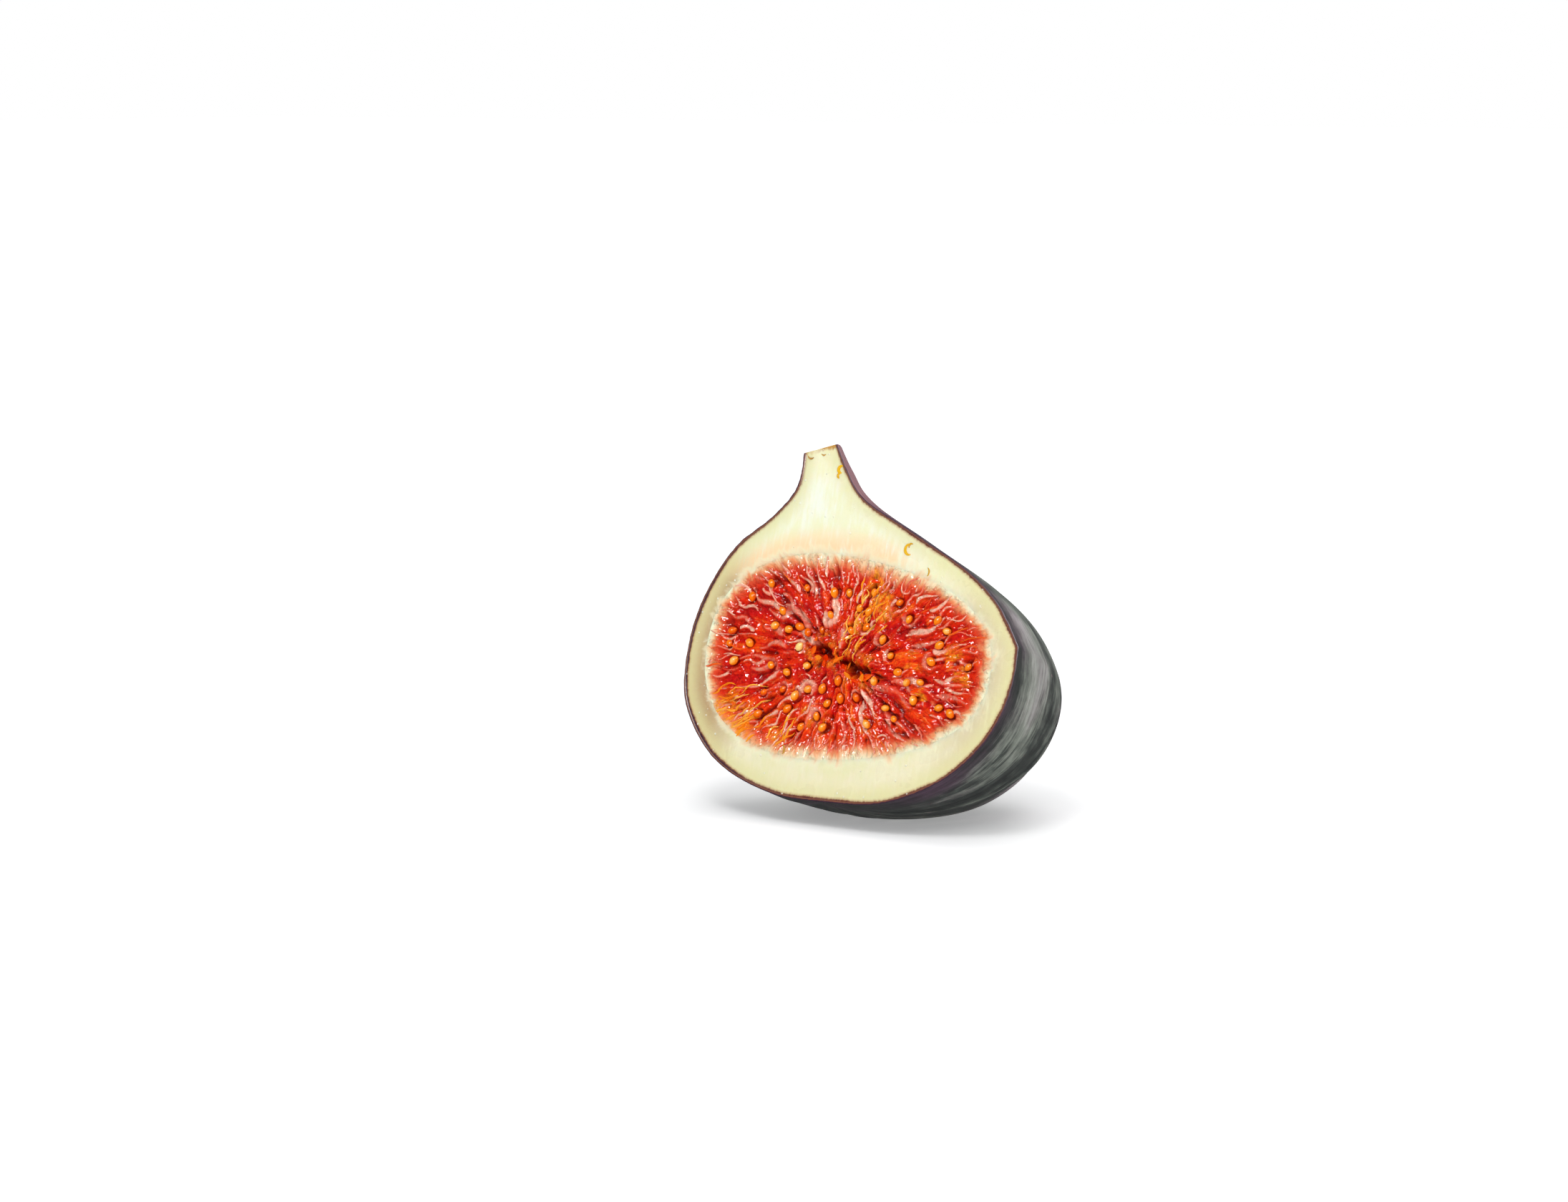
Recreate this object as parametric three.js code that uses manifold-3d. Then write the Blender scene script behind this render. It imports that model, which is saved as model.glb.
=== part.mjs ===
// A fresh fig cut lengthwise, a little in front of its middle, so that this is the larger half. It rests on
// its rounded underside and leans back, with the cut face to the front and the short stem at the top.
// Three bodies, each of one colour, make up the half: the thin dark skin, the cream flesh that runs up into
// the stem, and the red pulp of florets and seeds that fills the flesh.
//
// Millimetres and degrees. +Z is up and the cut face looks towards -Y. The work is done on the face's own
// axes, u to the right, v up the face and w into the fruit, and each point is then leant back and set down.
import * as THREE from "three";
import { mergeVertices } from "three/addons/utils/BufferGeometryUtils.js";
import Module from "manifold-3d";

const wasm = await Module();
wasm.setup();

// The fruit's outline on the cut face, from above the stem's left side, round the bottom, to above its right
// side. The middle point is the bottom, and points an equal number of steps from it face each other.
const OUTLINE = [
  [-13.1, 50.6], [-12.7, 46.9], [-13.1, 42.6], [-16.6, 38.5], [-22.3, 33.8], [-26.2, 27.2], [-27.9, 19.4],
  [-26.6, 11.2], [-20.0, 3.9], [-9.9, 0.3],
  [0, -0.1],
  [10.2, 0.8], [19.8, 5.3], [25.9, 12.2], [27.9, 20.2], [25.3, 27.0], [19.4, 32.4], [8.8, 37.5], [-0.9, 41.8],
  [-5.0, 46.0], [-8.3, 50.9],
];
const DEPTH_SHARE = 1.2; // the body's depth behind the cut, over half its width
const STEM_DEPTH_SHARE = 1.02; // the same in the stem
const DROOP = 0.115; // how far the body sinks for each millimetre behind the cut
const STEM_CUT = { left: [-12.8, 47.7], right: [-7.3, 49.3] }; // the knife's line across the top of the stem

const SKIN = 0.9; // thickness of the skin with the darker flesh under it
const GAP = 0.3; // clearance between bodies that touch
const LEAN = 15; // degrees the cut face leans back
const PLACE = new THREE.Vector3(-0.16, -18.5, 4.0); // sets the middle of the box on the origin

// Low ribs run from the stem to the eye: [height, ribs in a full turn, phase in radians]
const RIBS = [[0.32, 11, 0.6], [0.2, 17, 2.1]];

// The pulp fills a flattened hollow in the flesh.
const PULP_CENTRE = [-0.1, 19.7];
const PULP_HALF = { u: 24.3, v: 14.05, w: 27 };
const PULP_SQUARENESS = 2.3; // 2 is an ellipse, and more is squarer
const PULP_TAPER = 0.1; // how much lower the hollow is at its right end than in the middle, as a share
const BED = 0.8; // how far the pulp's bed lies behind the cut, under the florets
const SUNK = 0.4; // how far the feet of florets and seeds reach into the bed
const CORE = [[-5, 20.9], [3.5, 17.8]]; // the slit in the middle of the pulp, which the florets point to
const CORE_SLIT = { half: 1.1, depth: 3.2 };

// Florets stand in rings from the hollow's wall to the core. start and end are shares of the way to the core.
const FLORET_RINGS = [
  { count: 38, start: -0.04, end: 0.33, width: 2.4, height: 0.9 },
  { count: 30, start: 0.2, end: 0.56, width: 2.4, height: 1.0 },
  { count: 22, start: 0.42, end: 0.78, width: 2.2, height: 1.05 },
  { count: 12, start: 0.64, end: 0.97, width: 2.0, height: 1.0 },
];
const FLORET_SIDES = 4;
const SEED_SIDES = 5;
const FLORET_SWELL = [0.45, 1, 0.85]; // widths from a floret's stalk to its head, as shares of the widest
const SEED_COUNT = 36;
const SEED = { length: 1.6, width: 1.2, height: 1.2 };
const SEED_PROFILE = [[0, 0], [1, 0], [0.9, 0.75], [0, 1]]; // a dome on a straight foot
const DRAW = 11; // where the random draws start

const SKIN_ROWS = 40;
const SKIN_SECTORS = 80;
const FLESH_ROWS = 24;
const FLESH_SECTORS = 44;
const HOLLOW_ROWS = 12;
const HOLLOW_SECTORS = 32;
const FAR = 200; // larger than the fruit

const outline = new THREE.SplineCurve(OUTLINE.map(([u, v]) => new THREE.Vector2(u, v)));
const lean = new THREE.Matrix4()
  .makeTranslation(PLACE)
  .multiply(new THREE.Matrix4().makeRotationX(THREE.MathUtils.degToRad(-LEAN)));

// Repeatable random numbers from 0 to 1.
function draws(start) {
  let state = start;
  return () => {
    state = (state + 0x6d2b79f5) | 0;
    let mixed = Math.imul(state ^ (state >>> 15), 1 | state);
    mixed = (mixed + Math.imul(mixed ^ (mixed >>> 7), 61 | mixed)) ^ mixed;
    return ((mixed ^ (mixed >>> 14)) >>> 0) / 4294967296;
  };
}

// The outline's point at a share of its length, moved into the fruit by inset.
function edgePoint(share, inset) {
  const point = outline.getPoint(share);
  const tangent = outline.getTangent(share);
  return point.add(new THREE.Vector2(-tangent.y, tangent.x).multiplyScalar(inset));
}

// Height of the ribs, which fade out at the eye and on the stem.
function ribHeight(along, around) {
  const fade = Math.sin(Math.PI * Math.min(along / 0.84, 1)) ** 0.7;
  const waves = RIBS.map(([height, count, phase]) => height * Math.cos(count * around + phase));
  return fade * waves.reduce((sum, wave) => sum + wave, 0);
}

// A point on the fruit, inset under its surface. along runs from 0 at the bottom to 1 above the stem's cut,
// around turns from the face's right edge, past the back, to its left edge, and out is 1 on the surface.
function fruitPoint(along, around, out, inset) {
  const left = edgePoint(0.5 - along / 2, inset);
  const right = edgePoint(0.5 + along / 2, inset);
  const middle = left.clone().add(right).multiplyScalar(0.5);
  const half = right.clone().sub(left).multiplyScalar(0.5);
  const radius = half.length();
  const stretch = 1 + (radius > 0.5 ? ribHeight(along, around) / radius : 0);
  const stem = THREE.MathUtils.smoothstep(along, 0.66, 0.86);
  const share = THREE.MathUtils.lerp(DEPTH_SHARE, STEM_DEPTH_SHARE, stem);
  const depth = share * radius * Math.sin(around) * stretch * out;
  middle.addScaledVector(half, Math.cos(around) * stretch * out);
  return new THREE.Vector3(middle.x, depth, middle.y - DROOP * depth * (1 - stem));
}

// Leans a point of the face's axes back, sets it down, and presses it flat where the fruit rests.
function setDown(point, inset) {
  point.applyMatrix4(lean);
  point.z = Math.max(point.z, inset);
  return point;
}

function solid(geometry) {
  const bare = geometry.clone();
  bare.deleteAttribute("normal");
  bare.deleteAttribute("uv");
  const merged = mergeVertices(bare, 1e-4);
  const vertProperties = new Float32Array(merged.attributes.position.array);
  const triVerts = new Uint32Array(merged.index.array);
  return new wasm.Manifold(new wasm.Mesh({ numProp: 3, vertProperties, triVerts }));
}

function geometryOf(body) {
  const { vertProperties, triVerts } = body.getMesh();
  const geometry = new THREE.BufferGeometry();
  geometry.setAttribute("position", new THREE.BufferAttribute(vertProperties, 3));
  geometry.setIndex(new THREE.BufferAttribute(triVerts, 1));
  return geometry.toNonIndexed();
}

// Moves every vertex of a geometry by a function of its old place.
function reshape(geometry, place) {
  const position = geometry.attributes.position;
  for (let i = 0; i < position.count; i += 1) {
    const moved = place(new THREE.Vector3().fromBufferAttribute(position, i));
    position.setXYZ(i, moved.x, moved.y, moved.z);
  }
  return geometry;
}

// The whole fruit as a closed body, inset under the surface: a unit lathe laid on the fruit.
function fruitBody(inset, rows, sectors) {
  const profile = [new THREE.Vector2(0, 0)];
  for (let row = 1; row <= rows; row += 1) profile.push(new THREE.Vector2(1, row / rows));
  profile.push(new THREE.Vector2(0, 1));
  const lathe = new THREE.LatheGeometry(profile, sectors);
  return solid(
    reshape(lathe, ({ x, y, z }) => {
      const out = Math.hypot(x, z);
      return setDown(fruitPoint(y, Math.atan2(x, z), out, inset), inset);
    }),
  );
}

// How far the hollow reaches on the face in a direction from its centre, for a hollow made smaller by inset.
function hollowReach(angle, inset) {
  const halfHeight = (PULP_HALF.v - inset) * (1 - PULP_TAPER * Math.cos(angle));
  const across = Math.abs(Math.cos(angle) / (PULP_HALF.u - inset)) ** PULP_SQUARENESS;
  const upward = Math.abs(Math.sin(angle) / halfHeight) ** PULP_SQUARENESS;
  return (across + upward) ** (-1 / PULP_SQUARENESS);
}

function hollowBody(inset) {
  const sphere = new THREE.SphereGeometry(1, HOLLOW_SECTORS, HOLLOW_ROWS);
  sphere.rotateX(Math.PI / 2);
  return solid(
    reshape(sphere, ({ x, y, z }) => {
      const angle = Math.atan2(z, x);
      const reach = hollowReach(angle, inset) * Math.hypot(x, z);
      const depth = y * (PULP_HALF.w - inset);
      const v = PULP_CENTRE[1] + reach * Math.sin(angle) - DROOP * depth;
      return setDown(new THREE.Vector3(PULP_CENTRE[0] + reach * Math.cos(angle), depth, v), 0);
    }),
  );
}

// Everything more than start behind the plane of the cut.
function behindCut(start) {
  const box = new THREE.BoxGeometry(FAR, FAR, FAR);
  box.translate(0, FAR / 2 + start, 0);
  return solid(box.applyMatrix4(lean));
}

// Everything above the knife's line across the stem.
function aboveStem() {
  const [u, v] = STEM_CUT.left;
  const slope = Math.atan2(STEM_CUT.right[1] - v, STEM_CUT.right[0] - u);
  const box = new THREE.BoxGeometry(FAR, FAR, FAR);
  box.translate(0, 0, FAR / 2);
  box.rotateY(-slope);
  box.translate(u, 0, v);
  return solid(box.applyMatrix4(lean));
}

// One floret, a stalk that swells to a head: a unit lathe bent along its line. Its underside and both ends
// are sunk in the pulp's bed, so that no hollow is left under it.
function floret(root, head, width, height, bend) {
  const profile = [new THREE.Vector2(0, 0)];
  FLORET_SWELL.forEach((swell, i) => {
    profile.push(new THREE.Vector2(swell, (i + 0.35) / FLORET_SWELL.length));
  });
  profile.push(new THREE.Vector2(0, 1));
  const lathe = new THREE.LatheGeometry(profile, FLORET_SIDES);
  const line = head.clone().sub(root);
  const side = new THREE.Vector2(line.y, -line.x).normalize();
  return solid(
    reshape(lathe, ({ x, y, z }) => {
      const across = (x * width) / 2 + bend * Math.sin(Math.PI * y);
      const place = root.clone().addScaledVector(line, y).addScaledVector(side, across);
      const depth = z > 0.1 ? -z * height * (0.5 + 0.5 * y) : SUNK;
      return new THREE.Vector3(place.x, BED + depth, place.y).applyMatrix4(lean);
    }),
  );
}

function seed(place, turn) {
  const profile = SEED_PROFILE.map(([x, y]) => new THREE.Vector2(x, y));
  const grain = new THREE.LatheGeometry(profile, SEED_SIDES);
  grain.scale(SEED.length / 2, SUNK + SEED.height, SEED.width / 2);
  grain.rotateX(Math.PI);
  grain.rotateY(turn);
  grain.translate(place.x, BED + SUNK, place.y);
  return solid(grain.applyMatrix4(lean));
}

// The nearest point of the core's line.
function coreFrom(point) {
  const [a, b] = CORE.map(([u, v]) => new THREE.Vector2(u, v));
  const line = b.clone().sub(a);
  const share = THREE.MathUtils.clamp(point.clone().sub(a).dot(line) / line.lengthSq(), 0, 1);
  return a.addScaledVector(line, share);
}

// The point on the face at a share of the way from the wall of the hollow to the core.
function pulpPlace(angle, share) {
  const reach = hollowReach(angle, GAP);
  const wall = new THREE.Vector2(Math.cos(angle), Math.sin(angle)).multiplyScalar(reach);
  wall.add(new THREE.Vector2(...PULP_CENTRE));
  return wall.lerp(coreFrom(wall), share);
}

function floretsAndSeeds() {
  const draw = draws(DRAW);
  const bodies = [];
  FLORET_RINGS.forEach(({ count, start, end, width, height }, ring) => {
    for (let i = 0; i < count; i += 1) {
      const angle = ((i + 0.5 * (ring % 2) + 0.3 * (draw() - 0.5)) / count) * 2 * Math.PI;
      const shift = 0.08 * (draw() - 0.5);
      const root = pulpPlace(angle, start + (ring ? shift : 0));
      const head = pulpPlace(angle + 0.05 * (draw() - 0.5), end + shift);
      bodies.push(floret(root, head, width * (0.85 + 0.3 * draw()), height, 0.5 * (draw() - 0.5)));
    }
  });
  for (let i = 0; i < SEED_COUNT; i += 1) {
    // Each seed turns on from the last by the golden angle, which spreads them evenly over the pulp.
    const angle = i * Math.PI * (3 - Math.sqrt(5));
    const place = pulpPlace(angle, 0.2 + 0.72 * ((i + draw()) / SEED_COUNT));
    bodies.push(seed(place, draw() * Math.PI));
  }
  return bodies;
}

// A narrow lens cut into the pulp along the core's line.
function coreSlit() {
  const [a, b] = CORE.map(([u, v]) => new THREE.Vector2(u, v));
  const lens = new THREE.IcosahedronGeometry(1, 2);
  lens.scale(a.distanceTo(b) / 2, CORE_SLIT.depth, CORE_SLIT.half);
  lens.rotateY(-Math.atan2(b.y - a.y, b.x - a.x));
  lens.translate((a.x + b.x) / 2, BED, (a.y + b.y) / 2);
  return solid(lens.applyMatrix4(lean));
}

function skinBody() {
  const shell = fruitBody(0, SKIN_ROWS, SKIN_SECTORS).subtract(fruitBody(SKIN, FLESH_ROWS, FLESH_SECTORS));
  return shell.intersect(behindCut(0)).subtract(aboveStem());
}

function fleshBody() {
  const whole = fruitBody(SKIN + GAP, FLESH_ROWS, FLESH_SECTORS);
  return whole.subtract(hollowBody(0)).intersect(behindCut(0)).subtract(aboveStem());
}

function pulpBody() {
  const filling = hollowBody(GAP);
  const relief = wasm.Manifold.union(floretsAndSeeds()).intersect(filling);
  return filling.intersect(behindCut(BED)).add(relief).subtract(coreSlit());
}

function piece(name, body, material) {
  const mesh = new THREE.Mesh(geometryOf(body), new THREE.MeshStandardMaterial(material));
  mesh.name = name;
  return mesh;
}

const fig = new THREE.Group();
fig.add(piece("skin", skinBody(), { color: 0x3a2a44, roughness: 0.6, metalness: 0 }));
fig.add(piece("flesh", fleshBody(), { color: 0xf0e9bd, roughness: 0.45, metalness: 0 }));
fig.add(piece("pulp", pulpBody(), { color: 0xc4261c, roughness: 0.25, metalness: 0 }));

export default fig;
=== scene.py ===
"""A fresh fig cut lengthwise: ribbed skin, cream flesh and red pulp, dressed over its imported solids."""

import cmath
import functools
import math
import random

import bmesh
import bpy
from bpy.props import FloatProperty, FloatVectorProperty, IntProperty, PointerProperty
from mathutils import Euler, Matrix, Vector, kdtree, noise


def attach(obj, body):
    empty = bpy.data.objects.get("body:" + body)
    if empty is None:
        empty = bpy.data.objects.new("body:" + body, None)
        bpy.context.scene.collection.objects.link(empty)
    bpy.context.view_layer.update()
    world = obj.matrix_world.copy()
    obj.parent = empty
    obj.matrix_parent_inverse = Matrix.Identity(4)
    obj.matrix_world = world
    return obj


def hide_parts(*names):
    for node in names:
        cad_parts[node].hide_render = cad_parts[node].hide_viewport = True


bl_info = {
    "name": "Halved Fresh Fig",
    "version": (1, 0, 0),
    "blender": (4, 5, 0),
    "location": "3D View > Sidebar > Fig",
    "description": "Builds the skin, flesh and pulp of a fresh fig that is cut lengthwise",
    "category": "Add Mesh",
}

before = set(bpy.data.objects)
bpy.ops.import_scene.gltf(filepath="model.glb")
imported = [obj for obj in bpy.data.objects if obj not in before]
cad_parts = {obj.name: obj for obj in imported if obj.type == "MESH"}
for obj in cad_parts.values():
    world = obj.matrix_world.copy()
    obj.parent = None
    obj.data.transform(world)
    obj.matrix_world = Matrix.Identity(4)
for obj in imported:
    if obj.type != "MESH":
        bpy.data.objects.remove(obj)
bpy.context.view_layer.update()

# The fruit is worked out on the cut face's own axes, in millimetres: u to the right, v up the face and w into
# the fruit. set_down leans each point back, stands it on the floor and turns it to metres.
MM = 0.001
LEAN = math.radians(15)
PLACE = (-0.16, -18.5, 4.0)

# The cut face's outline, from the stem's left edge down to the bottom and up to the stem's right edge
OUTLINE = [
    (-13.1, 50.6), (-12.7, 46.9), (-13.1, 42.6), (-16.6, 38.5), (-22.3, 33.8), (-26.2, 27.2),
    (-27.9, 19.4), (-26.6, 11.2), (-20.0, 3.9), (-9.9, 0.3),
    (0.0, -0.1),
    (10.2, 0.8), (19.8, 5.3), (25.9, 12.2), (27.9, 20.2), (25.3, 27.0), (19.4, 32.4), (8.8, 37.5),
    (-0.9, 41.8), (-5.0, 46.0), (-8.3, 50.9),
]
EDGE_STEPS = 1200
KNIFE_LEFT, KNIFE_RIGHT = Vector((-12.8, 47.7)), Vector((-7.3, 49.3))

# The body behind the cut face: its depth as a share of half its width, and how much its back hangs down
DEPTH_SHARE, STEM_DEPTH_SHARE = 1.2, 1.02
DROOP = 0.115
STEM_START, STEM_END = 0.66, 0.86  # shares of the way up the fruit
CORNER_ALONG, CORNER_LENGTH, CORNER_HEIGHT = 0.45, 0.035, 0.85
RIB_FADE = 0.84
RIBS = [(0.32, 11, 0.6), (0.2, 17, 2.1)]  # height, ribs in a full turn, phase
FINE_RIBS = [(0.07, 31, 1.3), (0.04, 53, 0.4)]
SKIN_OVERLAP = 0.02  # how far the flesh reaches into the skin
SHARP_ANGLE = math.radians(60)

# The pulp: an oval with squarish sides, a little taller on its left, round the slit of its core
PULP_CENTRE = Vector((-0.1, 19.7))
PULP_HALF = (24.3, 14.05, 27.0)
PULP_SQUARENESS = 2.3
PULP_TAPER = 0.1
CORE = (Vector((-5.0, 20.9)), Vector((3.5, 17.8)))
FACE_TOP = 0.15  # how far the pulp's relief may stand out of the cut
FAR_OUT = -6.0  # what the layer "inside" holds where no pulp shows through
STRAND_STEPS = 12
SCALE_THICKNESS = 0.13

# The stage, in metres, and in millimetres where the camera aims: its foot, and its shift across and up
FLOOR_HALF, FLOOR_GAP = 6.0, 2e-5
LIGHT_TARGET = Vector((0, 0, 0.02))
CAMERA_FOOT = Vector((5.44, -18.5, 4.0))
CAMERA_SHIFT = (-9.66, 27.73)

# Marks of sap on the flesh: centre, radius, first angle and swing in degrees, width, tone
MARKS = [
    ((7.9, 35.5), 0.75, 100, 190, 0.24, 0.95), ((8.1, 35.9), 0.4, 60, 150, 0.16, 0.7),
    ((11.0, 32.6), 0.7, -50, 110, 0.13, 0.7), ((-8.8, 6.3), 0.9, -40, 100, 0.13, 0.6),
    ((-5.8, 45.8), 0.5, 80, 200, 0.26, 1.0), ((-5.9, 44.9), 0.35, 100, 160, 0.2, 0.9),
    ((-11.4, 47.6), 0.6, 200, 120, 0.14, 0.45), ((-9.3, 48.1), 0.5, 220, 100, 0.12, 0.55),
]


def smoothstep(low, high, value):
    """0 at low, 1 at high, and smooth between."""
    share = min(max((value - low) / (high - low), 0.0), 1.0)
    return share * share * (3 - 2 * share)


def lerp(a, b, share):
    """The number that lies a share of the way from a to b."""
    return a + (b - a) * share


def quarter_turn(vector):
    """A flat vector turned to its left."""
    return Vector((-vector.y, vector.x))


def facing(angle):
    """The flat unit vector at an angle."""
    return Vector((math.cos(angle), math.sin(angle)))


def search_tree(places):
    """A tree that finds the nearest of the places, and gives it by its number in the list."""
    tree = kdtree.KDTree(len(places))
    for i, place in enumerate(places):
        tree.insert(place, i)
    tree.balance()
    return tree


def set_down(u, v, w, floor=0.0):
    """A point of the cut face's axes, leant back and stood on the floor, in metres."""
    y = w * math.cos(LEAN) + v * math.sin(LEAN)
    z = v * math.cos(LEAN) - w * math.sin(LEAN)
    return Vector((u + PLACE[0], y + PLACE[1], max(z + PLACE[2], floor))) * MM


def outline_at(share):
    """The outline's point at a share of its length, on a smooth curve through its points."""
    place = min(max(share, 0.0), 1.0) * (len(OUTLINE) - 1)
    first = min(int(place), len(OUTLINE) - 2)
    t = place - first
    near = [Vector(OUTLINE[min(max(first + step, 0), len(OUTLINE) - 1)]) for step in (-1, 0, 1, 2)]
    start, end = (near[2] - near[0]) / 2, (near[3] - near[1]) / 2
    cubic = near[1] * 2 - near[2] * 2 + start + end
    square = near[2] * 3 - near[1] * 3 - start * 2 - end
    return cubic * t**3 + square * t**2 + start * t + near[1]


@functools.cache
def edge_table(inset):
    """The outline's left and right points, moved into the fruit, for even steps from the bottom up."""

    def inset_point(share):
        tangent = (outline_at(share + 1e-4) - outline_at(share - 1e-4)).normalized()
        return outline_at(share) + quarter_turn(tangent) * inset

    shares = [i / EDGE_STEPS / 2 for i in range(EDGE_STEPS + 1)]
    return [(inset_point(0.5 - share), inset_point(0.5 + share)) for share in shares]


def edges(along, inset):
    """The left and right points of the outline at a share of the way up."""
    table = edge_table(inset)
    place = min(max(along, 0.0), 1.0) * (len(table) - 1)
    first = min(int(place), len(table) - 2)
    (left, right), (next_left, next_right) = table[first], table[first + 1]
    return left.lerp(next_left, place - first), right.lerp(next_right, place - first)


def rib_height(along, around, ribs):
    """How high the ribs stand, which fade out at the bottom and on the stem."""
    fade = math.sin(math.pi * min(along / RIB_FADE, 1.0)) ** 0.7 if along > 0 else 0.0
    return fade * sum(height * math.cos(count * around + phase) for height, count, phase in ribs)


def fruit_point(along, around, inset, relief=0.0):
    """A point under the fruit's surface: along is the share of the way up, and around turns behind from
    the right edge to the left one."""
    left, right = edges(along, inset)
    middle, half = (left + right) / 2, (right - left) / 2
    radius = half.length
    stretch = 1 + ((rib_height(along, around, RIBS) + relief) / radius if radius > 0.5 else 0.0)
    stem = smoothstep(STEM_START, STEM_END, along)
    depth = lerp(DEPTH_SHARE, STEM_DEPTH_SHARE, stem) * radius * math.sin(around) * stretch
    face = middle + half * (math.cos(around) * stretch)
    corner = CORNER_HEIGHT * math.exp(-abs(along - CORNER_ALONG) / CORNER_LENGTH)
    face.x += corner * max(math.cos(around), 0.0) ** 14
    return face.x, face.y - DROOP * depth * (1 - stem), depth


def knife_height(u):
    """The height of the knife's cut across the stem."""
    slope = (KNIFE_RIGHT.y - KNIFE_LEFT.y) / (KNIFE_RIGHT.x - KNIFE_LEFT.x)
    return KNIFE_LEFT.y + (u - KNIFE_LEFT.x) * slope


@functools.cache
def stem_top(around, inset):
    """How far along the fruit its surface meets the knife's line across the stem."""
    low, high, halvings = 0.8, 1.0, 18
    for _ in range(halvings):
        middle = (low + high) / 2
        u, v, _ = fruit_point(middle, around, inset)
        low, high = (low, middle) if v > knife_height(u) else (middle, high)
    return low


def hollow_reach(angle):
    """How far the hollow for the pulp reaches from its centre, on the cut face."""
    half_height = PULP_HALF[1] * (1 - PULP_TAPER * math.cos(angle))
    across = abs(math.cos(angle) / PULP_HALF[0]) ** PULP_SQUARENESS
    upward = abs(math.sin(angle) / half_height) ** PULP_SQUARENESS
    return (across + upward) ** (-1 / PULP_SQUARENESS)


def reach_towards(offset):
    """How far the hollow reaches in the direction of an offset from its centre."""
    return hollow_reach(math.atan2(offset.y, offset.x))


def inside_pulp(point):
    """Distance inside the hollow's edge on the cut face, and below 0 outside it."""
    offset = point - PULP_CENTRE
    return reach_towards(offset) - offset.length


def ripple(u, v, size, seed=0.0):
    """Smooth noise from -1 to 1 whose lumps are about size millimetres."""
    return noise.noise(Vector((u / size, v / size, seed)))


def seam_depth(u, v):
    """How far behind the cut the flesh and the pulp meet."""
    return 0.09 + 0.06 * ripple(u, v, 1.3, 4.0)


def patch(bm, columns, rows, place):
    """A grid whose vertices are moved by place(a, b), which gives a point and what its layers hold."""
    layers = bm.verts.layers.float
    made = bmesh.ops.create_grid(bm, x_segments=columns, y_segments=rows, size=0.5)
    for vertex in made["verts"]:
        a = round((vertex.co.x + 0.5) * columns) / columns
        b = round((vertex.co.y + 0.5) * rows) / rows
        vertex.co, values = place(a, b)
        for name, value in values.items():
            vertex[layers[name]] = value


def new_mesh(*layers):
    """An empty bmesh with layers of floats on its vertices."""
    bm = bmesh.new()
    for name in layers:
        bm.verts.layers.float.new(name)
    return bm


def close_up(bm):
    """Joins the patches' edges and points every face outwards."""
    bmesh.ops.remove_doubles(bm, verts=bm.verts, dist=2e-7)
    bmesh.ops.dissolve_degenerate(bm, edges=bm.edges, dist=1e-8)
    bmesh.ops.recalc_face_normals(bm, faces=bm.faces)


def new_object(name, data):
    """An object in the scene that holds a mesh, a light or a camera."""
    made = bpy.data.objects.new(name, data)
    bpy.context.scene.collection.objects.link(made)
    return made


def mesh_object(name, bm, material):
    """Turns a bmesh to an object, smooth except at its sharp edges."""
    mesh = bpy.data.meshes.new(name)
    bm.to_mesh(mesh)
    bm.free()
    mesh.shade_smooth()
    mesh.set_sharp_from_angle(angle=SHARP_ANGLE)
    mesh.materials.append(material)
    return new_object(name, mesh)


def add_piece(name, bm, material, node):
    """A piece of the fruit, which replaces its solid."""
    piece = mesh_object(name, bm, material)
    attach(piece, "root")
    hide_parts(node)


class Wire:
    """One output of a shader node. Sums and products of wires add the Math nodes that work them out."""

    def __init__(self, finish, socket):
        self.finish = finish
        self.socket = socket

    def maths(self, operation, *values):
        """The wire of a new Math node."""
        return self.finish.node("ShaderNodeMath", values, operation=operation)

    def __add__(self, other):
        return self.maths("ADD", self, other)

    def __sub__(self, other):
        return self.maths("SUBTRACT", self, other)

    def __rsub__(self, other):
        return self.maths("SUBTRACT", other, self)

    def __mul__(self, other):
        return self.maths("MULTIPLY", self, other)

    def __truediv__(self, other):
        return self.maths("DIVIDE", self, other)

    __radd__ = __add__
    __rmul__ = __mul__

    def swing(self, reach):
        """Noise about 0.5 turned to noise about 0, stretched by reach."""
        return (self - 0.5) * reach

    def step(self, low, high):
        """0 at low, 1 at high, and smooth between."""
        if low > high:
            return 1 - self.step(high, low)
        values = {"Value": self, "From Min": low, "From Max": high}
        return self.finish.node("ShaderNodeMapRange", values, interpolation_type="SMOOTHSTEP")


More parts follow.
